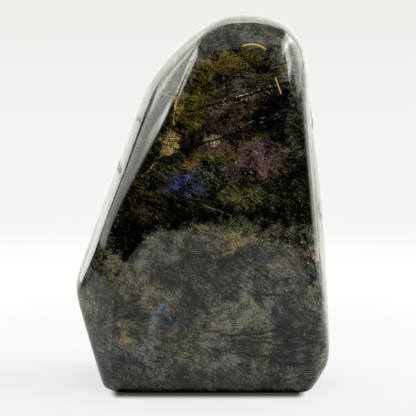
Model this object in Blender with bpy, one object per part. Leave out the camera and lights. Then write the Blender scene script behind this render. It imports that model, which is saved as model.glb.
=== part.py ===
"""A free-standing polished labradorite freeform: one hand-ground stone with a sawn flat base.

The rough is treated as a lapidary would treat it. Each facet is one pass against the grinding wheel, given
by the way it faces and by a point that it passes through. Where facets meet, the polish rounds the edge by
their softness. Metres, +Z up, the broad front faces -Y, and the origin is at the middle of the base.
"""
import math

import bmesh
import bpy
import numpy as np
from mathutils import Vector, noise

MM = 0.001

# Overall sizes of the finished stone
HEIGHT = 130 * MM
DOME_LEVEL = 92 * MM            # slices are level up to here, and above it they fan out over the crown

# Each facet: the compass angle that it faces (0 front, 90 right, 180 back, -90 left), its upward tilt in
# degrees, a point that it passes through in mm, and the softness of its edges in mm
FACETS = {
    "front_low": (0, 0, (0, -25, 25), 0.8),
    "front_high": (1, 9, (16, -25, 58), 0.8),
    "front_left": (-14, 12.5, (-25, -25, 52.6), 0.7),
    "shoulder_left_high": (-42.2, 18.3, (-6.2, -16.9, 108.3), 0.9),
    "shoulder_left": (-55.7, 24.9, (-20.5, -19.6, 77.4), 0.9),
    "side_left": (-81.1, 20.5, (-28.9, 15, 83.3), 1.2),
    "side_left_low": (-90, -18.5, (-40.5, 5, 18), 1.2),
    "corner_left_mid": (-52, 0.5, (-33.5, -19.5, 52), 1.2),
    "corner_left_low": (-48, -10, (-37.0, -22.4, 18), 1.3),
    "shoulder_right": (43.4, 9.5, (32.5, -19.8, 83.2), 0.8),
    "side_right": (80.3, 5.6, (43.6, 13.1, 83), 0.6),
    "side_right_high": (82.8, 7.1, (39.1, 9.9, 111.1), 1.1),
    "side_right_back": (95, -1, (46.1, -5, 40), 1.2),
    "side_right_low": (86, -36, (44.5, 0, 5.8), 1.4),
    "corner_right_low": (46, -4, (41.2, -22.9, 14), 1.4),
    "crown_left_low": (-84.8, 41.3, (-10.1, 12, 116.6), 1.1),
    "crown_left_high": (-83.2, 59.6, (0, 8.8, 125.8), 1.4),
    "crown_top": (1.3, 83.9, (15, 8, 131.2), 1.0),
    "crown_right": (82.7, 36.4, (35.5, 10.1, 122), 1.15),
    "crown_right_high": (79.2, 66.1, (26.6, 8, 128.9), 1.0),
    "crown_right_front": (44.4, 15.6, (30.7, -17.1, 107), 0.85),
    "crown_front": (0, 40, (15, -15.5, 119), 0.9),
    "back_broad": (180, 5, (0, 24, 50), 1.5),
    "back_left": (-136, 13, (-27, 18, 60), 2.0),
    "back_right": (138, 5, (33, 18, 60), 2.0),
    "back_crown": (180, 52, (15, 17, 119), 1.5),
    "base": (0, -90, (0, 0, -0.25), 0.6),
}

# The mesh: columns across the front, rows from front to back, and the spacing of the slices
COLUMNS = 28
DEPTH_ROWS = 16
SLICE_STEP = 3.6 * MM
CROWDING = 0.28                  # 0 leaves the columns evenly spaced
RIM_STEPS = (0.0, 0.35 * MM, 0.8 * MM, 1.5 * MM, 2.6 * MM, 4.2 * MM, 6.2 * MM, 8.6 * MM)

# The block that the slices start from: its middle and half sizes at the base and at the crown
BLOCK_LOW = {"middle": Vector((1 * MM, 0, 0)), "half": Vector((38 * MM, 25 * MM, 0))}
BLOCK_HIGH = {"middle": Vector((11 * MM, 0, 0)), "half": Vector((29 * MM, 16.5 * MM, 0))}

# How the skin is found along a ray: between the ray's start and a point well outside, halved again and again
WELL_OUTSIDE = 2 * HEIGHT
HALVINGS = 44
STEEPEST = 60                    # keeps the exponentials within range

# The slow unevenness that hand polishing leaves on the broad faces, and how far above the base it is full
POLISH_DEPTH = 0.22 * MM
POLISH_LENGTH = 26 * MM
POLISH_START = 12 * MM


def clear_scene():
    for old in list(bpy.data.objects):
        bpy.data.objects.remove(old, do_unlink=True)


def facing(compass, tilt):
    """Unit vector of a facet that faces this compass angle and leans up by tilt."""
    a, t = math.radians(compass), math.radians(tilt)
    return np.array((math.sin(a) * math.cos(t), -math.cos(a) * math.cos(t), math.sin(t)))


def ground_planes():
    normals, reaches, softness = [], [], []
    for compass, tilt, point, soft in FACETS.values():
        normal = facing(compass, tilt)
        normals.append(normal)
        reaches.append(float(normal @ np.array(point)) * MM)
        softness.append(soft * MM)
    return np.array(normals), np.array(reaches), np.array(softness)


def skin_distance(origins, directions, planes):
    """How far each ray goes before it leaves the stone.

    The skin is where the facets' exponentials add up to one: flat where one facet rules, and rounded where
    several meet.
    """
    normals, reaches, softness = planes
    near = np.zeros(len(origins))
    far = np.full(len(origins), WELL_OUTSIDE)
    for _ in range(HALVINGS):
        middle = (near + far) / 2
        points = origins + directions * middle[:, None]
        over = np.clip((points @ normals.T - reaches) / softness, -STEEPEST, STEEPEST)
        outside = np.exp(over).sum(axis=1) > 1
        far = np.where(outside, middle, far)
        near = np.where(outside, near, middle)
    return (near + far) / 2


def block_at(level):
    """Middle and half sizes of the starting block at this height."""
    share = level / HEIGHT
    middle = BLOCK_LOW["middle"].lerp(BLOCK_HIGH["middle"], share)
    half = BLOCK_LOW["half"].lerp(BLOCK_HIGH["half"], share)
    return middle, half


def crowd(share):
    """Moves a grid line, at this share of the way out from -1 to 1, so that lines crowd to the corners."""
    return share * (1 + CROWDING * (1 - share * share))


def slice_levels():
    """Heights of the slices below the crown's edge, from the top down, close together at the base's rim."""
    top = HEIGHT - SLICE_STEP
    rows = round((top - RIM_STEPS[-1]) / SLICE_STEP)
    even = [RIM_STEPS[-1] + (top - RIM_STEPS[-1]) * i / rows for i in range(rows, 0, -1)]
    return even + list(reversed(RIM_STEPS))


def block_mesh():
    """A bmesh grid for the crown with its edge drawn down slice by slice, and the base closed."""
    bm = bmesh.new()
    bmesh.ops.create_grid(bm, x_segments=COLUMNS, y_segments=DEPTH_ROWS, size=1)
    for vert in bm.verts:
        vert.co.z = HEIGHT
    edge = [e for e in bm.edges if e.is_boundary]
    for level in slice_levels():
        drawn = bmesh.ops.extrude_edge_only(bm, edges=edge)["geom"]
        for vert in (v for v in drawn if isinstance(v, bmesh.types.BMVert)):
            vert.co.z = level
        edge = [e for e in drawn if isinstance(e, bmesh.types.BMEdge) and e.is_boundary]
    bmesh.ops.contextual_create(bm, geom=edge)
    return bm


def grind(bm):
    """Moves every vertex of the block out or in to the stone's skin."""
    origins, directions = [], []
    for vert in bm.verts:
        across, deep, level = crowd(vert.co.x), crowd(vert.co.y), vert.co.z
        middle, half = block_at(level)
        start = Vector((middle.x, middle.y, min(level, DOME_LEVEL)))
        goal = Vector((middle.x + across * half.x, middle.y + deep * half.y, level))
        origins.append(start)
        directions.append((goal - start).normalized())
    reach = skin_distance(np.array(origins), np.array(directions), ground_planes())
    for vert, start, direction, distance in zip(bm.verts, origins, directions, reach):
        vert.co = start + direction * float(distance)


def polish(bm):
    """Adds the slow waves of hand polishing, which die out at the flat base."""
    bm.normal_update()
    moves = []
    for vert in bm.verts:
        wave = noise.noise(vert.co / POLISH_LENGTH)
        fade = min(1.0, vert.co.z / POLISH_START)
        moves.append(vert.normal * (wave * POLISH_DEPTH * fade))
    for vert, move in zip(bm.verts, moves):
        vert.co += Vector((move.x, move.y, move.z if vert.co.z > 0 else 0.0))


def centre_on_base(bm):
    """Puts the middle of the stone's box over the origin and its base at z = 0."""
    xs = [v.co.x for v in bm.verts]
    ys = [v.co.y for v in bm.verts]
    zs = [v.co.z for v in bm.verts]
    shift = Vector((-(min(xs) + max(xs)) / 2, -(min(ys) + max(ys)) / 2, -min(zs)))
    bmesh.ops.translate(bm, verts=bm.verts, vec=shift)


def labradorite_material():
    material = bpy.data.materials.new("polished_labradorite")
    material.use_nodes = True
    shader = material.node_tree.nodes["Principled BSDF"]
    shader.inputs["Base Color"].default_value = (0.045, 0.047, 0.038, 1)
    shader.inputs["Roughness"].default_value = 0.08
    shader.inputs["Metallic"].default_value = 0.0
    return material


def make_stone():
    bm = block_mesh()
    grind(bm)
    polish(bm)
    centre_on_base(bm)
    bmesh.ops.recalc_face_normals(bm, faces=bm.faces)
    mesh = bpy.data.meshes.new("stone")
    bm.to_mesh(mesh)
    bm.free()
    mesh.shade_smooth()
    mesh.materials.append(labradorite_material())
    stone = bpy.data.objects.new("stone", mesh)
    bpy.context.scene.collection.objects.link(stone)
    return stone


def main():
    clear_scene()
    make_stone()


if __name__ == "__main__":
    main()
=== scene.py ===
import math

import bmesh
import bpy
import numpy as np
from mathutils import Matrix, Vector, noise


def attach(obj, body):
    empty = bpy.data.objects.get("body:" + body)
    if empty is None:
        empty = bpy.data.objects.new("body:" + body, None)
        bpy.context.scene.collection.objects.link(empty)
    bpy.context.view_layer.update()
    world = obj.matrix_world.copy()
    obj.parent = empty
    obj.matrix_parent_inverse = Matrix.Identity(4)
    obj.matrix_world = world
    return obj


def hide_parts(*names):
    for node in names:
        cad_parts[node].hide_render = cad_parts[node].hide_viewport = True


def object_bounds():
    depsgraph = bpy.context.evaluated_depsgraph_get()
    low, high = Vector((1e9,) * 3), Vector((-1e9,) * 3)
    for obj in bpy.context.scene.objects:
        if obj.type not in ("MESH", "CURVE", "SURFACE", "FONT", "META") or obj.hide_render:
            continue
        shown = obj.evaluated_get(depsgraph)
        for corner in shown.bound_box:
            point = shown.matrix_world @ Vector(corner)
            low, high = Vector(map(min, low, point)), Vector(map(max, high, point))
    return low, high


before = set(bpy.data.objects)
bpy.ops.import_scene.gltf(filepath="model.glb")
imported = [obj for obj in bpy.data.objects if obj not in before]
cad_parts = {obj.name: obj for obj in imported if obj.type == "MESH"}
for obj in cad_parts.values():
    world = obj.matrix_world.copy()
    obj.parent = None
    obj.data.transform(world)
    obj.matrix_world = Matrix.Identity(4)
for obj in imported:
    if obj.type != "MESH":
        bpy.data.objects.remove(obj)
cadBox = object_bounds()
mm = 0.001


# Small helpers for node trees

def addNode(tree, kind, **settings):
    node = tree.nodes.new(kind)
    for name, value in settings.items():
        setattr(node, name, value)
    return node


def plug(tree, value, socket):
    if isinstance(value, bpy.types.NodeSocket):
        tree.links.new(value, socket)
    elif value is not None:
        socket.default_value = value


def calc(tree, operation, first, second=None, third=None, clamp=False):
    node = addNode(tree, "ShaderNodeMath", operation=operation, use_clamp=clamp)
    for socket, value in zip(node.inputs, (first, second, third)):
        plug(tree, value, socket)
    return node.outputs[0]


def calcVector(tree, operation, first, second=None):
    node = addNode(tree, "ShaderNodeVectorMath", operation=operation)
    plug(tree, first, node.inputs[0])
    plug(tree, second, node.inputs[3 if operation == "SCALE" else 1])
    return node.outputs[1 if operation in ("LENGTH", "DOT_PRODUCT", "DISTANCE") else 0]


def remap(tree, value, fromLow, fromHigh, toLow=0.0, toHigh=1.0, smooth=True):
    node = addNode(tree, "ShaderNodeMapRange", interpolation_type="SMOOTHSTEP" if smooth else "LINEAR")
    for name, entry in (("Value", value), ("From Min", fromLow), ("From Max", fromHigh),
                        ("To Min", toLow), ("To Max", toHigh)):
        plug(tree, entry, node.inputs[name])
    return node.outputs["Result"]


def mixValue(tree, share, under, over):
    kept = calc(tree, "MULTIPLY", under, calc(tree, "SUBTRACT", 1.0, share))
    return calc(tree, "ADD", kept, calc(tree, "MULTIPLY", share, over))


def mixColour(tree, share, under, over):
    # the Mix node keeps its two colours in sockets 6 and 7
    node = addNode(tree, "ShaderNodeMix", data_type="RGBA", clamp_factor=True)
    plug(tree, share, node.inputs[0])
    for socket, colour in ((node.inputs[6], under), (node.inputs[7], over)):
        plug(tree, (*colour, 1) if isinstance(colour, tuple) else colour, socket)
    return node.outputs[2]


def mixShaders(tree, share, under, over):
    node = addNode(tree, "ShaderNodeMixShader")
    for socket, value in zip(node.inputs, (share, under, over)):
        plug(tree, value, socket)
    return node.outputs[0]


def noiseOn(tree, vector, scale, detail=3.0, roughness=0.55, distortion=0.0, output="Fac"):
    node = addNode(tree, "ShaderNodeTexNoise")
    plug(tree, vector, node.inputs["Vector"])
    settings = dict(Scale=scale, Detail=detail, Roughness=roughness, Distortion=distortion)
    for name, value in settings.items():
        plug(tree, value, node.inputs[name])
    return node.outputs[output]


def grainOn(tree, vector, size, **settings):
    return noiseOn(tree, vector, 1 / size, **settings)


def swayOn(tree, vector, scale, **settings):
    # noise along all three axes that reaches as far back as forth
    waves = noiseOn(tree, vector, scale, output="Color", **settings)
    return calcVector(tree, "SUBTRACT", waves, (0.5, 0.5, 0.5))


def cellsOn(tree, vector, scale, feature="F1"):
    node = addNode(tree, "ShaderNodeTexVoronoi", feature=feature)
    plug(tree, vector, node.inputs["Vector"])
    plug(tree, scale, node.inputs["Scale"])
    return node.outputs


def splitVector(tree, vector):
    node = addNode(tree, "ShaderNodeSeparateXYZ")
    plug(tree, vector, node.inputs[0])
    return node.outputs


def splitColour(tree, colour):
    node = addNode(tree, "ShaderNodeSeparateColor")
    plug(tree, colour, node.inputs[0])
    return node.outputs


def turnOnFront(tree, vector, angle):
    # turns a place about the line of sight, so that patterns lean on the front
    node = addNode(tree, "ShaderNodeVectorRotate", rotation_type="Y_AXIS")
    plug(tree, vector, node.inputs["Vector"])
    plug(tree, angle, node.inputs["Angle"])
    return node.outputs[0]


def newGroup(name, vectors, numbers, results, resultKind="NodeSocketFloat"):
    group = bpy.data.node_groups.new(name, "ShaderNodeTree")
    for label in vectors:
        group.interface.new_socket(label, in_out="INPUT", socket_type="NodeSocketVector")
    for label, start in numbers.items():
        socket = group.interface.new_socket(label, in_out="INPUT", socket_type="NodeSocketFloat")
        socket.default_value = start
    for label in results:
        group.interface.new_socket(label, in_out="OUTPUT", socket_type=resultKind)
    return group, group.nodes.new("NodeGroupInput").outputs, group.nodes.new("NodeGroupOutput").inputs


def useGroup(tree, group, **values):
    node = tree.nodes.new("ShaderNodeGroup")
    node.node_tree = group
    for name, value in values.items():
        plug(tree, value, node.inputs[name])
    return node.outputs


# Camera: the photo's view, a little above the middle of the stone
view = dict(
    target=(0.0, 0.0, 65 * mm),
    elevation=7.0,               # degrees above the table
    distance=620 * mm,
    lens=150.4,
    sensor=36.0,
    shift=(0.0149, -0.0245),     # the stone stands a little left of and above the middle of the picture
)


def makeCamera():
    camera = bpy.data.objects.new("camera", bpy.data.cameras.new("camera"))
    tilt = math.radians(view["elevation"])
    outward = Vector((0, -math.cos(tilt), math.sin(tilt)))
    camera.location = Vector(view["target"]) + outward * view["distance"]
    camera.rotation_euler = (-outward).to_track_quat("-Z", "Y").to_euler()
    camera.data.lens = view["lens"]
    camera.data.sensor_width = view["sensor"]
    camera.data.shift_x, camera.data.shift_y = view["shift"]
    bpy.context.scene.collection.objects.link(camera)
    bpy.context.scene.camera = camera


# Floor: a wide pale disc that thins out into the studio's own paleness, so no edge shows, with a brown shadow
# painted beside the stone
floorLook = dict(
    radius=1.2,
    sides=96,
    fade=(0.12, 0.46),                   # m from the stone's middle
    paint=(0.11, 0.109, 0.106),
    glow=(0.658, 0.676),                 # in front and behind: an overexposed white table keeps little shadow
    glowAt=(-88 * mm, 5 * mm),
    foot=((2 * mm, -1 * mm, 0), (30 * mm, 25 * mm, 0)),          # middle and half sizes of the stone's stand
    paintedShadowReach=(2.2, 1.0, 1.0),           # the painted brown shadow beside it reaches less far at the sides
    paintedShadowRange=(2.5 * mm, 9.5 * mm, 0.04, 1.0),                   # painted shadow: from, to, and what it leaves of the table
    paintedShadowTint=(0.030, 0.022, 0.012),
)


def makeFloor():
    bm = bmesh.new()
    bmesh.ops.create_circle(bm, cap_ends=True, segments=floorLook["sides"], radius=floorLook["radius"])
    mesh = bpy.data.meshes.new("floor")
    bm.to_mesh(mesh)
    bm.free()
    floor = bpy.data.objects.new("floor", mesh)
    bpy.context.scene.collection.objects.link(floor)
    material = bpy.data.materials.new("paleTable")
    material.use_nodes = True
    tree = material.node_tree
    tree.nodes.clear()
    place = addNode(tree, "ShaderNodeTexCoord").outputs["Object"]
    fade = remap(tree, calcVector(tree, "LENGTH", place), *floorLook["fade"])
    middle, half = floorLook["foot"]
    beside = calcVector(tree, "ABSOLUTE", calcVector(tree, "SUBTRACT", place, middle))
    beside = calcVector(tree, "MAXIMUM", calcVector(tree, "SUBTRACT", beside, half), (0.0, 0.0, 0.0))
    beside = calcVector(tree, "MULTIPLY", beside, floorLook["paintedShadowReach"])
    # painted contact shadow: close to the stone's stand the table's paint turns to a brown shadow tint and
    # its glow dims
    clearOfPaintedShadow = remap(tree, calcVector(tree, "LENGTH", beside), *floorLook["paintedShadowRange"])
    paint = addNode(tree, "ShaderNodeBsdfDiffuse")
    plug(tree, mixColour(tree, clearOfPaintedShadow, floorLook["paintedShadowTint"], floorLook["paint"]), paint.inputs["Color"])
    glow = addNode(tree, "ShaderNodeEmission")
    strength = remap(tree, splitVector(tree, place)["Y"], *floorLook["glowAt"], *floorLook["glow"])
    plug(tree, calc(tree, "MULTIPLY", strength, clearOfPaintedShadow), glow.inputs["Strength"])
    table = addNode(tree, "ShaderNodeAddShader")
    plug(tree, paint.outputs[0], table.inputs[0])
    plug(tree, glow.outputs[0], table.inputs[1])
    clear = addNode(tree, "ShaderNodeBsdfTransparent")
    surface = mixShaders(tree, fade, table.outputs[0], clear.outputs[0])
    plug(tree, surface, addNode(tree, "ShaderNodeOutputMaterial").inputs["Surface"])
    mesh.materials.append(material)


# Studio. Angles are degrees: around from the front, 0, to the backdrop, 180, and up from the table
studio = dict(
    seenLow=(0.915, 0.915, 0.905),       # what the camera sees past the table, lowest and highest
    seenHigh=(0.845, 0.852, 0.818),
    seenAt=(-7.5, 1.0),
    front=0.0,                           # nothing shines from straight in front
    table=(0.92, 1.25),                  # the table in front of the stone, and behind it
    tableAt=(110.0, 150.0),
    tableEdge=(-2.5, -6.7),              # how far down its edge lies, in front and at the sides
    tableEdgeAt=(60.0, 85.0),
    tableRise=(0.0, 3.7),                # how much the edge rises again behind the stone
    tableRiseAt=(122.0, 134.0),
    tableSoft=0.7,
    backdrop=(3.9, 1.35),                # at the sides, and straight behind
    backdropAt=(136, 166),
    backdropEdge=(130.5, 133.5),
    ceiling=1.0,
    ceilingFrom=(38, 56),
    glow=10.6,                           # a wide box high behind the stone, brighter towards the top
    glowFrom=10.0,
    glowBuild=1.3,
    glowAround=(95.0, 150.0),
    straightUp=90.0,
    colour=(0.99, 1.0, 0.935),
    dome=0.86,                           # soft light on matt surfaces, stronger from one side
    domeExtra=0.55,
    domeFrom=(-0.25, -0.66, 0.71),       # that side: from the front, above and a little from the left
)

# Soft boxes at the sides: where each begins, is full, is still full and ends, around and up, and its strength
softBoxes = dict(
    leftTall=dict(side=-1, around=(97.5, 102.5, 124.5, 126.5), up=(5.5, 9, 60, 70), strength=3.0),
    leftStrip=dict(side=-1, around=(101, 104, 111, 114), up=(20.6, 21.6, 23.2, 24.4), strength=3.8),
    leftStripTop=dict(side=-1, around=(100, 102, 109, 112), up=(21.8, 22.5, 23.4, 24.4), strength=4.5),
    leftUpper=dict(side=-1, around=(62, 80, 104, 108), up=(27.4, 28.4, 33, 38), strength=9.0),
    leftUpperSide=dict(side=-1, around=(103, 106, 114, 117), up=(24.6, 25.4, 31, 35), strength=7.0),
    leftLine=dict(side=-1, around=(121, 122.5, 130, 133), up=(19.4, 20.6, 29, 33), strength=3.2),
    rightTall=dict(side=1, around=(94, 104, 124, 134), up=(-3, 3, 60, 70), strength=4.6),
    rightEdge=dict(side=1, around=(115, 119, 129, 134), up=(-5, -2.5, 2.5, 6), strength=3.8),
    rightUpper=dict(side=1, around=(90, 93, 122, 126), up=(9.6, 11, 24, 30), strength=4.2),
    rightLine=dict(side=1, around=(74, 79, 88, 94), up=(13.2, 14.8, 27, 32), strength=13.0),
    rightTop=dict(side=1, around=(50, 66, 104, 124), up=(19, 24, 50, 58), strength=11.0),
)


def makeStudio():
    world = bpy.data.worlds.new("studio")
    bpy.context.scene.world = world
    world.use_nodes = True
    tree = world.node_tree
    tree.nodes.clear()
    ray = addNode(tree, "ShaderNodeTexCoord").outputs["Generated"]
    x, y, z = splitVector(tree, ray)
    toDegrees = 180 / math.pi
    around = calc(tree, "ARCTAN2", calc(tree, "ABSOLUTE", x), calc(tree, "MULTIPLY", y, -1.0))
    around = calc(tree, "MULTIPLY", around, toDegrees)
    up = calc(tree, "MULTIPLY", calc(tree, "ARCSINE", z), toDegrees)
    onSide = {-1: calc(tree, "LESS_THAN", x, 0.0), 1: calc(tree, "GREATER_THAN", x, 0.0)}

    def window(value, edges):
        begins, full, stillFull, ends = edges
        opened = remap(tree, value, begins, full)
        return calc(tree, "MULTIPLY", opened, remap(tree, value, stillFull, ends, 1.0, 0.0))

    light = studio["front"]
    for box in softBoxes.values():
        lit = calc(tree, "MULTIPLY", window(around, box["around"]), window(up, box["up"]))
        lit = calc(tree, "MULTIPLY", lit, onSide[box["side"]])
        light = calc(tree, "MULTIPLY_ADD", lit, box["strength"], light)
    backdrop = remap(tree, around, *studio["backdropAt"], *studio["backdrop"], smooth=False)
    light = calc(tree, "MULTIPLY_ADD", remap(tree, around, *studio["backdropEdge"]), backdrop, light)
    light = mixValue(tree, remap(tree, up, *studio["ceilingFrom"]), light, studio["ceiling"])
    high = calc(tree, "SUBTRACT", up, studio["glowFrom"])
    high = calc(tree, "DIVIDE", high, studio["straightUp"] - studio["glowFrom"], clamp=True)
    glow = calc(tree, "POWER", high, studio["glowBuild"])
    glow = calc(tree, "MULTIPLY", glow, remap(tree, around, *studio["glowAround"]))
    light = calc(tree, "MULTIPLY_ADD", glow, studio["glow"], light)
    table = remap(tree, around, *studio["tableAt"], *studio["table"])
    tableEdge = calc(tree, "ADD", remap(tree, around, *studio["tableEdgeAt"], *studio["tableEdge"]),
                     remap(tree, around, *studio["tableRiseAt"], *studio["tableRise"]))
    soft = studio["tableSoft"]
    below = remap(tree, calc(tree, "SUBTRACT", up, tableEdge), -soft, soft, 1.0, 0.0)
    light = mixValue(tree, below, light, table)
    polished = addNode(tree, "ShaderNodeBackground")
    plug(tree, light, polished.inputs["Strength"])
    plug(tree, (*studio["colour"], 1), polished.inputs["Color"])

    # matt surfaces see a plain dome, brighter towards the front and above
    facing = calc(tree, "MAXIMUM", calcVector(tree, "DOT_PRODUCT", ray, studio["domeFrom"]), 0.0)
    domeLight = calc(tree, "MULTIPLY_ADD", facing, studio["domeExtra"], studio["dome"])
    matt = addNode(tree, "ShaderNodeBackground")
    plug(tree, domeLight, matt.inputs["Strength"])
    seen = addNode(tree, "ShaderNodeBackground")
    backWall = mixColour(tree, remap(tree, up, *studio["seenAt"]), studio["seenLow"], studio["seenHigh"])
    plug(tree, backWall, seen.inputs["Color"])

    path = addNode(tree, "ShaderNodeLightPath").outputs
    lighting = mixShaders(tree, path["Is Diffuse Ray"], polished.outputs[0], matt.outputs[0])
    surface = mixShaders(tree, path["Is Camera Ray"], lighting, seen.outputs[0])
    plug(tree, surface, addNode(tree, "ShaderNodeOutputWorld").inputs["Surface"])


bpy.context.scene.view_settings.view_transform = "Standard"
makeCamera()
makeFloor()
makeStudio()
print("camera, floor and studio are up")


# The stone's skin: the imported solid, its triangles paired, divided finely and laid onto the ground facets
stoneShape = dict(
    mergeWithin=0.01 * mm,
    pairAngle=40.0,
    cuts=3,
    passes=5,
    shift=(-0.39, -1.52, 0.0),   # mm from the facets' own origin to the middle of the base
    waveDepth=0.22,              # mm, the slow unevenness of hand polishing
    waveLength=26.0,
    waveFull=12.0,               # mm above the base
)

# Facets as they are ground: compass angle (0 front, 90 right), upward tilt, a point in mm that each one
# passes through, and the softness of its edges in mm
facets = dict(
    frontLow=(0, 0, (0, -25, 25), 0.8),
    frontHigh=(1, 9, (16, -25, 58), 0.8),
    frontLeft=(-14, 12.5, (-25, -25, 52.6), 0.7),
    shoulderLeftHigh=(-42.2, 18.3, (-6.2, -16.9, 108.3), 0.9),
    shoulderLeft=(-55.7, 24.9, (-20.5, -19.6, 77.4), 0.9),
    sideLeft=(-81.1, 20.5, (-28.9, 15, 83.3), 1.2),
    sideLeftLow=(-90, -18.5, (-40.5, 5, 18), 1.2),
    cornerLeftMid=(-52, 0.5, (-33.5, -19.5, 52), 1.2),
    cornerLeftLow=(-48, -10, (-37.0, -22.4, 18), 1.3),
    shoulderRight=(43.4, 9.5, (32.5, -19.8, 83.2), 0.8),
    sideRight=(80.3, 5.6, (43.6, 13.1, 83), 0.6),
    sideRightHigh=(82.8, 7.1, (39.1, 9.9, 111.1), 1.1),
    sideRightBack=(95, -1, (46.1, -5, 40), 1.2),
    sideRightLow=(86, -36, (44.5, 0, 5.8), 1.4),
    cornerRightLow=(46, -4, (41.2, -22.9, 14), 1.4),
    crownLeftLow=(-84.8, 41.3, (-10.1, 12, 116.6), 1.1),
    crownLeftHigh=(-83.2, 59.6, (0, 8.8, 125.8), 1.4),
    crownTop=(1.3, 83.9, (15, 8, 131.2), 1.0),
    crownRight=(82.7, 36.4, (35.5, 10.1, 122), 1.15),
    crownRightHigh=(79.2, 66.1, (26.6, 8, 128.9), 1.0),
    crownRightFront=(44.4, 15.6, (30.7, -17.1, 107), 0.85),
    crownFront=(0, 40, (15, -15.5, 119), 0.9),
    backBroad=(180, 5, (0, 24, 50), 1.5),
    backLeft=(-136, 13, (-27, 18, 60), 2.0),
    backRight=(138, 5, (33, 18, 60), 2.0),
    backCrown=(180, 52, (15, 17, 119), 1.5),
    base=(0, -90, (0, 0, -0.25), 0.6),
)


def laidOnFacets(spots):
    # moves each spot, in mm, square to the skin until it lies on it, and then adds the polish
    normals, reaches, softness = [], [], []
    for compass, tilt, point, soft in facets.values():
        a, t = math.radians(compass), math.radians(tilt)
        normal = np.array((math.sin(a) * math.cos(t), -math.cos(a) * math.cos(t), math.sin(t)))
        normals.append(normal)
        reaches.append(float(normal @ np.array(point)))
        softness.append(soft)
    normals, reaches, softness = np.array(normals), np.array(reaches), np.array(softness)
    for _ in range(stoneShape["passes"]):
        over = (spots @ normals.T - reaches) / softness
        most = over.max(axis=1, keepdims=True)
        weights = np.exp(over - most)
        total = weights.sum(axis=1)
        outside = most[:, 0] + np.log(total)
        slope = ((weights / total[:, None]) / softness) @ normals
        spots = spots - slope * (outside / (slope * slope).sum(axis=1))[:, None]
    facing = slope / np.linalg.norm(slope, axis=1)[:, None]
    wave = np.array([noise.noise(Vector(spot) * mm / (stoneShape["waveLength"] * mm)) for spot in spots])
    wave *= stoneShape["waveDepth"] * np.clip(spots[:, 2] / stoneShape["waveFull"], 0, 1)
    return spots + facing * wave[:, None]


def makeStoneMesh():
    bm = bmesh.new()
    bm.from_mesh(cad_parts["stone"].data)
    bmesh.ops.remove_doubles(bm, verts=bm.verts, dist=stoneShape["mergeWithin"])
    bmesh.ops.join_triangles(bm, faces=bm.faces, angle_face_threshold=math.radians(stoneShape["pairAngle"]),
                             angle_shape_threshold=math.radians(stoneShape["pairAngle"]))
    bmesh.ops.subdivide_edges(bm, edges=bm.edges, cuts=stoneShape["cuts"], use_grid_fill=True)
    raised = [vert for vert in bm.verts if vert.co.z > stoneShape["mergeWithin"]]
    shift = np.array(stoneShape["shift"])
    laid = laidOnFacets(np.array([vert.co for vert in raised]) / mm - shift) + shift
    low, high = np.array(cadBox[0]), np.array(cadBox[1])
    for vert, spot in zip(raised, np.clip(laid * mm, low, high)):
        vert.co = spot
    mesh = bpy.data.meshes.new("polishedStone")
    bm.to_mesh(mesh)
    bm.free()
    mesh.shade_smooth()
    stone = bpy.data.objects.new("polishedStone", mesh)
    bpy.context.scene.collection.objects.link(stone)
    return stone


# Labradorite: sizes in mm on the stone, seen from the front: x to the right, z up, and y to the back.
# A level of 0 is black, and at 1 the tint is full nearly everywhere
grain = dict(
    bend=dict(Length=22.0, Reach=9.0, Detail=1.0),       # slow bends of the lamellae
    fray=dict(Length=4.0, Reach=9.0, Detail=5.0),        # ragged edges of small fields
    tear=dict(Length=11.0, Reach=26.0, Detail=6.0),      # ragged edges of large fields
    comb=dict(Length=6.0, Reach=4.0, Detail=2.0),        # the slight waver of single strokes
    mottle=dict(size=3.6, detail=7.0, roughness=0.72, distortion=0.3),
    cloud=dict(size=13.0, detail=2.0, roughness=0.5),
    grit=dict(size=0.55, detail=2.0, roughness=0.6),
    hue=dict(size=13.0, detail=3.0, roughness=0.6),
    lamella=dict(Grain=17.0, Along=5.0, Across=0.40, Lean=math.radians(-16), Spread=math.radians(60)),
    flake=dict(Grain=2.6, Along=0.9, Across=0.5, Lean=0.0, Spread=math.pi),
    shares=dict(mottle=1.6, lamella=1.7, flake=0.8, flakeShade=0.10, lamellaShade=0.12, cloud=1.8, grit=1.5),
    ground=((0.125, 0.132, 0.082), (0.142, 0.124, 0.072), (0.106, 0.118, 0.098)),   # green, brown, grey
    brownAt=(0.44, 0.60),
    greyAt=(0.46, 0.62),
    level=0.57,
    contrast=2.2,
    speckle=1.3,
    speckleHue=0.9,
    darkest=(0.0006, 0.0007, 0.0005),
)
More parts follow.
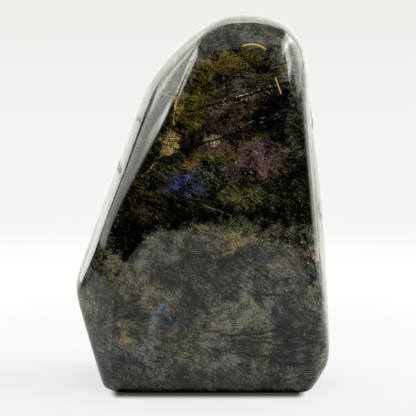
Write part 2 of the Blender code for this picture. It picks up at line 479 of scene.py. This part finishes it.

# Coloured fields, and a painted shade at the base: middle, half sizes, turn in degrees, edge softness, tint,
# level and share
largeFields = dict(
    upperNight=dict(at=(8, -22, 79), size=(50, 26, 25), turn=0, soft=0.2,
                    tint=(0.082, 0.075, 0.036), level=0.18, share=1.0),
    crown=dict(at=(14, -10, 124), size=(26, 30, 9), turn=0, soft=0.5,
               tint=(0.088, 0.090, 0.068), level=0.46, share=0.9),
    westShoulder=dict(at=(-8, -12, 108), size=(6, 16, 13), turn=-38, soft=0.5,
                      tint=(0.110, 0.122, 0.088), level=0.58, share=0.9),
    westEdge=dict(at=(-30, -9, 72), size=(5, 13, 34), turn=-20, soft=0.5,
                  tint=(0.070, 0.082, 0.076), level=0.42, share=0.9),
    olive=dict(at=(9.5, -20, 97.5), size=(16.5, 20, 24), turn=-22, soft=0.1,
               tint=(0.136, 0.100, 0.016), level=0.46, share=1.0),
    brownHeart=dict(at=(14.5, -20, 100), size=(14, 20, 17.5), turn=-18, soft=0.45,
                    tint=(0.078, 0.058, 0.028), level=0.30, share=1.0),
    nightBand=dict(at=(13, -20, 93), size=(24, 20, 6.2), turn=17, soft=0.4,
                   tint=(0.066, 0.047, 0.030), level=0.18, share=1.0),
    nightEast=dict(at=(27.5, -20, 98), size=(5, 18, 14), turn=8, soft=0.6,
                   tint=(0.036, 0.044, 0.044), level=0.16, share=0.95),
    eastBand=dict(at=(33.5, -14, 96), size=(5, 16, 27), turn=0, soft=0.5,
                  tint=(0.092, 0.098, 0.066), level=0.42, share=0.9),
    purple=dict(at=(17.6, -22, 80.6), size=(13.5, 16, 6.8), turn=10, soft=0.3,
                tint=(0.096, 0.057, 0.052), level=0.43, share=1.0),
    mossyEast=dict(at=(16, -22, 69), size=(16, 14, 6), turn=-6, soft=0.7,
                   tint=(0.150, 0.142, 0.050), level=0.33, share=0.8),
    mossyWest=dict(at=(-22, -20, 66), size=(11, 14, 10), turn=40, soft=0.8,
                   tint=(0.100, 0.076, 0.026), level=0.20, share=0.8),
    westNight=dict(at=(-27, -22, 54), size=(13, 14, 5.5), turn=35, soft=0.5,
                   tint=(0.070, 0.066, 0.040), level=0.10, share=0.95),
    shelf=dict(at=(10, -22, 57.4), size=(17, 14, 3.6), turn=-3, soft=0.6,
               tint=(0.125, 0.122, 0.066), level=0.64, share=0.85),
    duskMiddle=dict(at=(-6, -24, 44), size=(20, 14, 9), turn=8, soft=0.9,
                    tint=(0.098, 0.098, 0.068), level=0.33, share=0.85),
    northWest=dict(at=(-26, -24, 37), size=(10, 14, 8), turn=0, soft=0.9,
                   tint=(0.136, 0.118, 0.064), level=0.66, share=0.75),
    pinkEast=dict(at=(33, -22, 46), size=(5, 14, 10), turn=0, soft=0.9,
                  tint=(0.110, 0.085, 0.080), level=0.46, share=0.8),
    cloudWest=dict(at=(14, -24, 26.5), size=(8, 14, 7), turn=15, soft=0.6,
                   tint=(0.124, 0.128, 0.094), level=0.80, share=0.9),
    cloudEast=dict(at=(25, -24, 30), size=(7, 14, 5), turn=0, soft=0.5,
                   tint=(0.112, 0.120, 0.092), level=0.76, share=0.9),
    tealCloud=dict(at=(28.5, -24, 26), size=(3, 14, 6), turn=0, soft=0.7,
                   tint=(0.058, 0.090, 0.086), level=0.56, share=0.8),
    darkEast=dict(at=(33, -24, 18), size=(9, 14, 16), turn=0, soft=0.8,
                  tint=(0.070, 0.076, 0.062), level=0.30, share=0.9),
    paleFoot=dict(at=(26, -24, 10), size=(12, 14, 5), turn=10, soft=0.9,
                  tint=(0.100, 0.104, 0.088), level=0.52, share=0.7),
    # painted shade: the lowest few mm of the stone darkened, where the base turns under into shadow
    paintedBaseShade=dict(at=(2, -24, 1.5), size=(50, 30, 6), turn=0, soft=0.9,
                  tint=(0.070, 0.068, 0.050), level=0.34, share=0.75),
    backBlue=dict(at=(8, 24, 82), size=(22, 12, 26), turn=20, soft=0.5,
                  tint=(0.020, 0.062, 0.170), level=0.52, share=0.85),
    backTeal=dict(at=(-12, 24, 50), size=(18, 12, 16), turn=-15, soft=0.6,
                  tint=(0.030, 0.110, 0.110), level=0.48, share=0.8),
    backGold=dict(at=(20, 24, 34), size=(16, 12, 12), turn=10, soft=0.6,
                  tint=(0.190, 0.130, 0.030), level=0.46, share=0.8),
    eastBlue=dict(at=(44, 4, 52), size=(6, 15, 22), turn=0, soft=0.6,
                  tint=(0.024, 0.058, 0.120), level=0.44, share=0.7),
    westGold=dict(at=(-40, 6, 40), size=(8, 14, 16), turn=0, soft=0.6,
                  tint=(0.150, 0.110, 0.040), level=0.46, share=0.7),
)
smallFields = dict(
    paleHeart=dict(at=(12.5, -20, 107), size=(6, 16, 3.6), turn=10, soft=0.8,
                   tint=(0.130, 0.130, 0.092), level=0.52, share=0.75),
    oliveTop=dict(at=(13, -20, 116.5), size=(7, 16, 2.4), turn=8, soft=0.6,
                  tint=(0.170, 0.130, 0.022), level=0.50, share=0.8),
    beigeEdge=dict(at=(-1.5, -20, 111), size=(1.8, 14, 7), turn=-42, soft=0.7,
                   tint=(0.300, 0.225, 0.110), level=0.62, share=0.85),
    yellowEdge=dict(at=(-8.0, -20, 99), size=(1.5, 14, 7), turn=-10, soft=0.7,
                    tint=(0.260, 0.205, 0.040), level=0.62, share=0.85),
    blueBlack=dict(at=(22.5, -20, 111.5), size=(2.8, 14, 2.6), turn=0, soft=0.7,
                   tint=(0.030, 0.042, 0.060), level=0.28, share=0.9),
    teal=dict(at=(26, -20, 101), size=(3, 14, 1.6), turn=0, soft=0.8,
              tint=(0.020, 0.060, 0.080), level=0.42, share=0.8),
    tealLow=dict(at=(25.8, -20, 93.4), size=(1.6, 14, 1.6), turn=0, soft=0.8,
                 tint=(0.020, 0.070, 0.090), level=0.48, share=0.8),
    purpleTail=dict(at=(3.5, -22, 84.2), size=(7, 16, 1.7), turn=8, soft=0.6,
                    tint=(0.100, 0.046, 0.040), level=0.40, share=0.9),
    rust=dict(at=(26.5, -22, 78.5), size=(2.8, 14, 5.6), turn=-8, soft=0.6,
              tint=(0.115, 0.068, 0.032), level=0.48, share=0.85),
    rustLow=dict(at=(19.5, -22, 75.2), size=(4.2, 14, 1.5), turn=8, soft=0.6,
                 tint=(0.200, 0.110, 0.070), level=0.50, share=0.8),
    paleGreen=dict(at=(2.2, -22, 77.2), size=(6.5, 14, 2.8), turn=4, soft=0.7,
                   tint=(0.120, 0.150, 0.118), level=0.50, share=0.9),
    blueWest=dict(at=(-7.8, -22, 72.6), size=(5.6, 14, 4.0), turn=30, soft=0.9,
                  tint=(0.034, 0.050, 0.165), level=0.58, share=0.85),
    blueEast=dict(at=(-1.2, -22, 71.8), size=(3, 14, 2.8), turn=0, soft=0.9,
                  tint=(0.040, 0.056, 0.150), level=0.62, share=0.85),
    blueSouth=dict(at=(-6.6, -22, 68.2), size=(3.4, 14, 2.2), turn=40, soft=0.8,
                   tint=(0.044, 0.066, 0.110), level=0.60, share=0.8),
    violet=dict(at=(-5.2, -22, 75.3), size=(1.3, 14, 1.2), turn=0, soft=0.6,
                tint=(0.110, 0.080, 0.330), level=0.72, share=0.95),
    orange=dict(at=(-4.4, -22, 79.2), size=(0.8, 14, 1.8), turn=-20, soft=0.8,
                tint=(0.230, 0.085, 0.024), level=0.58, share=0.85),
    yellow=dict(at=(-4.9, -22, 77.4), size=(1.2, 14, 1.0), turn=0, soft=0.7,
                tint=(0.190, 0.135, 0.036), level=0.62, share=0.9),
    crystal=dict(at=(-11.0, -20, 87.0), size=(2.9, 14, 4.6), turn=-12, soft=0.4,
                 tint=(0.340, 0.240, 0.070), level=0.46, share=1.0),
    crystalLow=dict(at=(-13.2, -20, 82.6), size=(1.2, 14, 2.0), turn=-20, soft=0.4,
                    tint=(0.300, 0.220, 0.070), level=0.45, share=1.0),
    goldPatch=dict(at=(-15.4, -20, 79.6), size=(2.8, 14, 1.6), turn=48, soft=0.6,
                   tint=(0.190, 0.118, 0.026), level=0.50, share=0.9),
    eastCrystals=dict(at=(3.2, -20, 87.9), size=(3.4, 14, 1.5), turn=14, soft=0.4,
                      tint=(0.220, 0.165, 0.095), level=0.42, share=0.85),
    goldBrown=dict(at=(11.0, -24, 52.4), size=(4.8, 14, 4.2), turn=20, soft=0.7,
                   tint=(0.185, 0.142, 0.052), level=0.74, share=0.9),
    blueViolet=dict(at=(19.3, -24, 47.6), size=(4.6, 14, 1.6), turn=0, soft=0.8,
                    tint=(0.055, 0.058, 0.130), level=0.56, share=0.8),
    wornBrown=dict(at=(-28.5, -24, 28.5), size=(4.2, 14, 3.6), turn=0, soft=0.8,
                   tint=(0.125, 0.088, 0.042), level=0.54, share=0.8),
    wornGold=dict(at=(-26.5, -24, 19.8), size=(2, 14, 3), turn=10, soft=0.8,
                  tint=(0.200, 0.145, 0.055), level=0.44, share=0.75),
    bluePatch=dict(at=(-11.6, -24, 24.6), size=(2.8, 14, 3.2), turn=30, soft=0.8,
                   tint=(0.030, 0.062, 0.150), level=0.60, share=0.9),
    blueFleck=dict(at=(-10.2, -24, 39.8), size=(0.8, 14, 0.9), turn=0, soft=0.8,
                   tint=(0.050, 0.080, 0.170), level=0.65, share=0.85),
    orangeFoot=dict(at=(-19.4, -24, 3.5), size=(1.3, 14, 1.4), turn=0, soft=0.7,
                    tint=(0.240, 0.120, 0.040), level=0.66, share=0.9),
    blueFoot=dict(at=(-17.7, -24, 1.8), size=(1.0, 14, 0.8), turn=0, soft=0.7,
                  tint=(0.040, 0.060, 0.180), level=0.66, share=0.85),
    paleDot=dict(at=(35.2, -22, 21), size=(0.32, 8, 0.5), turn=0, soft=0.3,
                 tint=(0.550, 0.420, 0.400), level=1.0, share=1.0),
)
# Long strokes of single lamellae, hardly frayed, and a painted shadow line along the base
strokes = dict(
    streakHigh=dict(at=(-13.6, -24, 30.6), size=(3.4, 14, 1.0), turn=58, soft=0.7,
                    tint=(0.060, 0.150, 0.300), level=0.80, share=0.9),
    streakMiddle=dict(at=(-17.0, -24, 27), size=(2.0, 14, 0.8), turn=50, soft=0.8,
                      tint=(0.050, 0.120, 0.220), level=0.70, share=0.85),
    streakLow=dict(at=(-19, -24, 20), size=(9, 14, 0.8), turn=66, soft=0.9,
                   tint=(0.080, 0.120, 0.160), level=0.74, share=0.8),
    streakThin=dict(at=(-16.0, -24, 19), size=(7.5, 14, 0.5), turn=64, soft=0.9,
                    tint=(0.085, 0.120, 0.150), level=0.74, share=0.8),
    wisp=dict(at=(-3.5, -24, 24.4), size=(5.6, 14, 0.9), turn=-4, soft=0.9,
              tint=(0.100, 0.125, 0.135), level=0.70, share=0.8),
    wispLow=dict(at=(-2.0, -24, 21.6), size=(6.4, 14, 0.8), turn=-8, soft=0.9,
                 tint=(0.105, 0.115, 0.100), level=0.66, share=0.7),
    shadeHigh=dict(at=(14, -24, 20.4), size=(13, 14, 0.55), turn=-7, soft=0.9,
                   tint=(0.030, 0.034, 0.028), level=0.16, share=0.85),
    shadeMiddle=dict(at=(25, -24, 17.4), size=(12, 14, 0.6), turn=-5, soft=0.9,
                     tint=(0.030, 0.034, 0.030), level=0.16, share=0.85),
    shadeLow=dict(at=(17, -24, 13.6), size=(14, 14, 0.6), turn=-9, soft=0.9,
                  tint=(0.030, 0.034, 0.028), level=0.18, share=0.8),
    shadeFoot=dict(at=(30, -24, 11.0), size=(9, 14, 0.6), turn=-4, soft=0.9,
                   tint=(0.028, 0.032, 0.030), level=0.16, share=0.8),
    cloudSkirt=dict(at=(22, -24, 21.8), size=(10, 14, 0.5), turn=6, soft=0.9,
                    tint=(0.024, 0.028, 0.024), level=0.12, share=0.85),
    cloudBrow=dict(at=(23, -24, 34.6), size=(9, 14, 0.5), turn=-6, soft=0.9,
                   tint=(0.024, 0.028, 0.024), level=0.14, share=0.8),
    paleLow=dict(at=(6, -24, 10.4), size=(12, 14, 0.8), turn=7, soft=0.9,
                 tint=(0.112, 0.112, 0.084), level=0.66, share=0.7),
    # painted shadow: a near-black line along the very bottom, the shaded underside of the base's rounding
    paintedBaseShadowLine=dict(at=(0, 0, 0), size=(70, 60, 1.4), turn=0, soft=0.6,
                  tint=(0.004, 0.004, 0.003), level=0.0, share=1.0),
    paleMiddle=dict(at=(8, -24, 17.0), size=(9, 14, 0.8), turn=-6, soft=0.9,
                    tint=(0.118, 0.118, 0.086), level=0.68, share=0.7),
)

# Places where tiny bright flakes crowd: middle, half sizes, turn and how many
sparkles = (
    ((-11.4, -20, 86.4), (3.2, 14, 5.2), -14, 0.14),
    ((3.6, -20, 87.8), (4.4, 14, 1.9), 14, 0.13),
    ((5.8, -20, 98.6), (4.6, 14, 3.0), 10, 0.20),
    ((17.5, -20, 79.5), (11, 14, 5.5), 12, 0.05),
    ((21, -20, 104), (9, 14, 2.2), 16, 0.14),
    ((-38, -16, 28.8), (2.4, 14, 2.4), 0, 0.22),
)

# Chips in the rims, where the polish is broken off: middle, half sizes and turn
chips = (
    ((41.3, 0, 62.0), (0.9, 40, 4.0), 4),
    ((38.8, 0, 93.0), (0.6, 40, 3.0), 4),
    ((-29.4, 0, 76.5), (1.0, 40, 3.6), 20),
    ((-22.0, 0, 92.5), (0.6, 40, 2.2), 22),
)

# Hairlines of the front: two ends, half width, wander, colour, strength and the share that is missing
hairlines = dict(
    fissureShade=dict(ends=((-9, 96.0), (31, 107.2)), width=0.34, wander=2.2,
                      tint=(0.001, 0.001, 0.001), strength=0.85, broken=0.40),
    fissure=dict(ends=((11, 102.0), (26, 106.4)), width=0.15, wander=2.4,
                 tint=(0.55, 0.51, 0.42), strength=0.8, broken=0.53),
    fissureTwo=dict(ends=((6, 99.2), (20, 103.2)), width=0.14, wander=3.0,
                    tint=(0.34, 0.28, 0.20), strength=0.7, broken=0.53),
    secondShade=dict(ends=((-4, 85.0), (30, 95.8)), width=0.36, wander=1.6,
                     tint=(0.001, 0.001, 0.001), strength=0.9, broken=0.36),
    secondLine=dict(ends=((0, 86.6), (29, 96.2)), width=0.13, wander=2.6,
                    tint=(0.26, 0.20, 0.11), strength=0.6, broken=0.54),
    thirdLine=dict(ends=((12, 91.6), (30, 98.6)), width=0.14, wander=2.6,
                   tint=(0.17, 0.11, 0.05), strength=0.7, broken=0.50),
    goldEdge=dict(ends=((-8.4, 105), (-9.6, 92.5)), width=0.18, wander=3.2,
                  tint=(0.42, 0.32, 0.12), strength=0.8, broken=0.44),
    goldEdgeLow=dict(ends=((-13.6, 82.0), (-21, 74.4)), width=0.22, wander=2.0,
                     tint=(0.30, 0.21, 0.06), strength=0.6, broken=0.50),
    goldNeedle=dict(ends=((25.1, 109.4), (27.4, 102.8)), width=0.17, wander=0.3,
                    tint=(0.52, 0.30, 0.07), strength=0.95, broken=0.0),
    scratch=dict(ends=((1.4, 65.2), (10.4, 62.0)), width=0.10, wander=0.9,
                 tint=(0.22, 0.22, 0.17), strength=0.6, broken=0.46),
    eastCrack=dict(ends=((34.8, 56.5), (40.2, 39.8)), width=0.30, wander=2.4,
                   tint=(0.001, 0.001, 0.001), strength=0.9, broken=0.34),
    goldThread=dict(ends=((22, 52.6), (32.5, 51.2)), width=0.16, wander=1.4,
                    tint=(0.26, 0.17, 0.07), strength=0.8, broken=0.48),
    crownDash=dict(ends=((14, 127.2), (22, 127.0)), width=0.34, wander=1.0,
                   tint=(0.001, 0.001, 0.001), strength=0.9, broken=0.45),
    crownDashTwo=dict(ends=((11, 125.2), (21, 125.0)), width=0.30, wander=1.0,
                      tint=(0.001, 0.001, 0.001), strength=0.9, broken=0.47),
    cloudRim=dict(ends=((14, 18.5), (30, 20.5)), width=0.24, wander=4.0,
                  tint=(0.004, 0.004, 0.004), strength=0.8, broken=0.42),
    cloudRimTwo=dict(ends=((-4, 20.6), (14, 23.0)), width=0.22, wander=4.0,
                     tint=(0.004, 0.004, 0.004), strength=0.8, broken=0.44),
)

# The gold thread that bends over the top of the olive field: a piece of a ring between two sides
goldArc = dict(
    middle=(17.1, 0, 112.4),
    radius=7.75,
    width=0.22,
    edge=(0.7, 1.3),                     # where it thins out, in its own widths
    sides=(13.5, 22.4),
    fades=(1.2, 0.8),
    lowest=116.0,
    tint=(0.50, 0.28, 0.06),
    strength=0.95,
)

# How hairlines and veins thin out: edges in their own widths, gaps in the noise, and tapered ends in mm
lineLook = dict(
    hairEdge=(0.5, 1.5),
    hairGap=0.05,
    veinEdge=(0.4, 1.6),
    veinGap=0.08,
    taper=1.0,
    frontTo=(-12.0, -8.0),               # depth between which the front's lines end
)

# Veins all through the stone, dark ones and pale ones
veins = dict(
    dark=dict(Cell=6.5, Width=0.18, Broken=0.44),
    darkStrength=0.8,
    darkTint=(0.001, 0.001, 0.001),
    pale=dict(Cell=4.6, Width=0.09, Broken=0.55),
    paleStrength=0.3,
    paleLift=1.7,                        # against the tint around them
    paleShift=(31.0, 7.0, 13.0),         # keeps them off the dark ones
)

# Tiny flakes that catch the light, few everywhere and many in the places of sparkles
flakes = dict(
    size=0.42,
    chance=0.0025,
    placeSoft=0.4,
    strengthAt=(0.2, 1.0),
    strength=(0.06, 0.8),
    lift=2.6,                            # against the tint around them
    pale=(0.50, 0.46, 0.36),
    paleShare=0.35,
)

# The polished coat: thinner on dark mottles and gone in the grit of the chips
coat = dict(
    weight=(0.7, 1.0),
    weightAt=(0.34, 0.46),
    chipAt=(0.46, 0.54),
    chipSoft=0.5,
    roughness=0.02,
    ior=1.4,
    under=0.5,                           # roughness of the stone below it
)

acrossFront = (1.0, 0.0, 1.0)            # keeps the width and height of a place and drops its depth
grainShift = 37.0                        # far enough apart that no two grains share a piece of the noise


def thinLine(tree, away, width, edge):
    # full up to the first share of the width, and gone at the second
    full, gone = (calc(tree, "MULTIPLY", width, share) for share in edge)
    return remap(tree, away, full, gone, 1.0, 0.0)


def warpGroup():
    # carries a place aside
    sizes = dict(Length=5.0, Reach=2.0, Detail=2.0)
    group, given, result = newGroup("carry", ("Vector",), sizes, ("Vector",), "NodeSocketVector")
    small = calcVector(group, "SCALE", given["Vector"], calc(group, "DIVIDE", 1.0, given["Length"]))
    sway = swayOn(group, small, 1.0, detail=given["Detail"], roughness=0.62)
    carried = calcVector(group, "ADD", given["Vector"], calcVector(group, "SCALE", sway, given["Reach"]))
    plug(group, carried, result["Vector"])
    return group


def lamellaGroup():
    # each grain has lamellae in a direction of its own
    sizes = dict(Grain=8.0, Along=2.0, Across=0.5, Lean=0.0, Spread=1.0)
    group, given, result = newGroup("lamellae", ("Vector",), sizes, ("Value", "Shade"))
    small = calcVector(group, "SCALE", given["Vector"], calc(group, "DIVIDE", 1.0, given["Grain"]))
    grains = cellsOn(group, small, 1.0)["Color"]
    drawn = splitColour(group, grains)
    angle = calc(group, "SUBTRACT", drawn[0], 0.5)
    angle = calc(group, "MULTIPLY_ADD", angle, given["Spread"], given["Lean"])
    turned = turnOnFront(group, given["Vector"], angle)
    stretch = addNode(group, "ShaderNodeCombineXYZ")
    for socket, size in zip(stretch.inputs, ("Along", "Along", "Across")):
        plug(group, calc(group, "DIVIDE", 1.0, given[size]), socket)
    stretched = calcVector(group, "MULTIPLY", turned, stretch.outputs[0])
    shifted = calcVector(group, "ADD", stretched, calcVector(group, "SCALE", grains, grainShift))
    plug(group, noiseOn(group, shifted, 1.0, detail=4.0, roughness=0.66), result["Value"])
    plug(group, drawn[1], result["Shade"])
    return group


def fieldGroup():
    # a turned oval with a soft edge
    places = ("Vector", "Middle", "Size")
    group, given, result = newGroup("field", places, dict(Turn=0.0, Soft=0.5), ("Mask",))
    local = calcVector(group, "SUBTRACT", given["Vector"], given["Middle"])
    turned = turnOnFront(group, local, given["Turn"])
    away = calcVector(group, "LENGTH", calcVector(group, "DIVIDE", turned, given["Size"]))
    inner = calc(group, "SUBTRACT", 1.0, given["Soft"])
    outer = calc(group, "MULTIPLY_ADD", given["Soft"], 0.5, 1.0)
    plug(group, remap(group, away, inner, outer, 1.0, 0.0), result["Mask"])
    return group


def hairlineGroup():
    # a wandering, broken line between two ends
    group, given, result = newGroup("hairline", ("Vector", "Start", "End"),
                                    dict(Width=0.2, Wander=0.5, Broken=0.0), ("Mask",))
    flat = calcVector(group, "MULTIPLY", given["Vector"], acrossFront)
    sway = calcVector(group, "MULTIPLY", swayOn(group, flat, 0.3, detail=4.0, roughness=0.6), acrossFront)
    wandered = calcVector(group, "ADD", flat, calcVector(group, "SCALE", sway, given["Wander"]))
    run = calcVector(group, "SUBTRACT", given["End"], given["Start"])
    heading = calcVector(group, "NORMALIZE", run)
    length = calcVector(group, "LENGTH", run)
    local = calcVector(group, "SUBTRACT", wandered, given["Start"])
    along = calcVector(group, "DOT_PRODUCT", local, heading)
    beside = calcVector(group, "SUBTRACT", local, calcVector(group, "SCALE", heading, along))
    line = thinLine(group, calcVector(group, "LENGTH", beside), given["Width"], lineLook["hairEdge"])
    endsFrom = calc(group, "SUBTRACT", length, lineLook["taper"])
    ends = calc(group, "MULTIPLY", remap(group, along, 0.0, lineLook["taper"]),
                remap(group, along, endsFrom, length, 1.0, 0.0))
    gapTo = calc(group, "ADD", given["Broken"], lineLook["hairGap"])
    gaps = remap(group, noiseOn(group, flat, 0.5, detail=4.0, roughness=0.7), given["Broken"], gapTo)
    plug(group, calc(group, "MULTIPLY", calc(group, "MULTIPLY", line, ends), gaps), result["Mask"])
    return group


def veinGroup():
    # thin broken lines between warped cells
    group, given, result = newGroup("veins", ("Vector",), dict(Cell=6.0, Width=0.1, Broken=0.5), ("Mask",))
    small = calcVector(group, "SCALE", given["Vector"], calc(group, "DIVIDE", 1.0, given["Cell"]))
    away = cellsOn(group, small, 1.0, feature="DISTANCE_TO_EDGE")["Distance"]
    width = calc(group, "DIVIDE", given["Width"], given["Cell"])
    line = thinLine(group, away, width, lineLook["veinEdge"])
    gapTo = calc(group, "ADD", given["Broken"], lineLook["veinGap"])
    gaps = remap(group, noiseOn(group, small, 1.7), given["Broken"], gapTo)
    plug(group, calc(group, "MULTIPLY", line, gaps), result["Mask"])
    return group


def labradorite():
    material = bpy.data.materials.new("polishedLabradorite")
    material.use_nodes = True
    tree = material.node_tree
    shader = tree.nodes["Principled BSDF"]
    warp, lamellae, field = warpGroup(), lamellaGroup(), fieldGroup()
    hairline, vein = hairlineGroup(), veinGroup()

    spot = calcVector(tree, "SCALE", addNode(tree, "ShaderNodeTexCoord").outputs["Object"], 1 / mm)
    bent = useGroup(tree, warp, Vector=spot, **grain["bend"])["Vector"]
    frayed = useGroup(tree, warp, Vector=spot, **grain["fray"])["Vector"]
    torn = useGroup(tree, warp, Vector=spot, **grain["tear"])["Vector"]
    combed = useGroup(tree, warp, Vector=spot, **grain["comb"])["Vector"]

    def maskOf(place, middle, size, turn, soft):
        angle = math.radians(turn)
        return useGroup(tree, field, Vector=place, Middle=middle, Size=size, Turn=angle, Soft=soft)["Mask"]

    # lamellae, flakes and mottling make one uneven value
    mottle = grainOn(tree, bent, **grain["mottle"])
    cloud = grainOn(tree, torn, **grain["cloud"])
    striped = useGroup(tree, lamellae, Vector=bent, **grain["lamella"])
    flaked = useGroup(tree, lamellae, Vector=bent, **grain["flake"])
    grit = grainOn(tree, spot, **grain["grit"])
    parts = dict(mottle=mottle, lamella=striped["Value"], flake=flaked["Value"], flakeShade=flaked["Shade"],
                 lamellaShade=striped["Shade"], cloud=cloud, grit=grit)
    uneven = 0.0
    for name, value in parts.items():
        uneven = calc(tree, "MULTIPLY_ADD", calc(tree, "SUBTRACT", value, 0.5), grain["shares"][name], uneven)

    # tint and level from the fields, the painted shade at the base among them
    green, brown, grey = grain["ground"]
    hues = splitColour(tree, grainOn(tree, torn, output="Color", **grain["hue"]))
    tint = mixColour(tree, remap(tree, hues[0], *grain["brownAt"]), green, brown)
    tint = mixColour(tree, remap(tree, hues[1], *grain["greyAt"]), tint, grey)
    level = grain["level"]
    for fields, place in ((largeFields, torn), (smallFields, frayed), (strokes, combed)):
        for patch in fields.values():
            mask = maskOf(place, patch["at"], patch["size"], patch["turn"], patch["soft"])
            mask = calc(tree, "MULTIPLY", mask, patch["share"])
            tint = mixColour(tree, mask, tint, patch["tint"])
            level = calc(tree, "MULTIPLY_ADD", mask, calc(tree, "SUBTRACT", patch["level"], level), level)
    bright = calc(tree, "POWER", calc(tree, "ADD", level, uneven, clamp=True), grain["contrast"])
    speckle = swayOn(tree, frayed, 1 / grain["speckle"], detail=3.0, roughness=0.6)
    speckle = calcVector(tree, "SCALE", speckle, grain["speckleHue"])
    speckle = calcVector(tree, "ADD", speckle, (1.0, 1.0, 1.0))
    colour = mixColour(tree, bright, grain["darkest"], calcVector(tree, "MULTIPLY", tint, speckle))

    # flakes
    chance = flakes["chance"]
    for middle, size, turn, many in sparkles:
        mask = maskOf(frayed, middle, size, turn, flakes["placeSoft"])
        chance = calc(tree, "MULTIPLY_ADD", mask, many, chance)
    pick = splitColour(tree, cellsOn(tree, frayed, 1 / flakes["size"])["Color"])
    flake = calc(tree, "GREATER_THAN", chance, pick[0])
    flake = calc(tree, "MULTIPLY", flake, remap(tree, pick[1], *flakes["strengthAt"], *flakes["strength"]))
    flakeTint = calcVector(tree, "SCALE", tint, flakes["lift"])
    flakeTint = mixColour(tree, flakes["paleShare"], flakeTint, flakes["pale"])
    colour = mixColour(tree, flake, colour, flakeTint)

    # veins
    darkVeins = useGroup(tree, vein, Vector=frayed, **veins["dark"])["Mask"]
    darkVeins = calc(tree, "MULTIPLY", darkVeins, veins["darkStrength"])
    colour = mixColour(tree, darkVeins, colour, veins["darkTint"])
    shifted = calcVector(tree, "ADD", bent, veins["paleShift"])
    paleVeins = useGroup(tree, vein, Vector=shifted, **veins["pale"])["Mask"]
    paleTint = calcVector(tree, "SCALE", tint, veins["paleLift"])
    colour = mixColour(tree, calc(tree, "MULTIPLY", paleVeins, veins["paleStrength"]), colour, paleTint)

    # hairlines lie on the front only
    across, depth, height = splitVector(tree, spot)
    frontOnly = remap(tree, depth, *lineLook["frontTo"], 1.0, 0.0)
    for line in hairlines.values():
        (x0, z0), (x1, z1) = line["ends"]
        mask = useGroup(tree, hairline, Vector=spot, Start=(x0, 0, z0), End=(x1, 0, z1), Width=line["width"],
                        Wander=line["wander"], Broken=line["broken"])["Mask"]
        mask = calc(tree, "MULTIPLY", calc(tree, "MULTIPLY", mask, frontOnly), line["strength"])
        colour = mixColour(tree, mask, colour, line["tint"])
    flat = calcVector(tree, "MULTIPLY", spot, acrossFront)
    offRing = calc(tree, "SUBTRACT", calcVector(tree, "DISTANCE", flat, goldArc["middle"]), goldArc["radius"])
    full, gone = (goldArc["width"] * share for share in goldArc["edge"])
    ring = remap(tree, calc(tree, "ABSOLUTE", offRing), full, gone, 1.0, 0.0)
    (left, right), (fadeIn, fadeOut) = goldArc["sides"], goldArc["fades"]
    ring = calc(tree, "MULTIPLY", ring, remap(tree, across, left, left + fadeIn))
    ring = calc(tree, "MULTIPLY", ring, remap(tree, across, right - fadeOut, right, 1.0, 0.0))
    ring = calc(tree, "MULTIPLY", ring, calc(tree, "GREATER_THAN", height, goldArc["lowest"]))
    ring = calc(tree, "MULTIPLY", ring, frontOnly)
    colour = mixColour(tree, calc(tree, "MULTIPLY", ring, goldArc["strength"]), colour, goldArc["tint"])

    # the coat
    chipped = 0.0
    for middle, size, turn in chips:
        chipped = calc(tree, "MAXIMUM", maskOf(combed, middle, size, turn, coat["chipSoft"]), chipped)
    chipped = calc(tree, "MULTIPLY", chipped, remap(tree, grit, *coat["chipAt"]))
    polish = remap(tree, mottle, *coat["weightAt"], *coat["weight"])
    polish = calc(tree, "MULTIPLY", polish, calc(tree, "SUBTRACT", 1.0, chipped))
    plug(tree, colour, shader.inputs["Base Color"])
    plug(tree, polish, shader.inputs["Coat Weight"])
    shader.inputs["Roughness"].default_value = coat["under"]
    shader.inputs["Specular IOR Level"].default_value = 0.0
    shader.inputs["Coat Roughness"].default_value = coat["roughness"]
    shader.inputs["Coat IOR"].default_value = coat["ior"]
    return material


stone = makeStoneMesh()
stone.data.materials.append(labradorite())
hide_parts("stone")
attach(stone, "root")
print("stone is cut and polished")
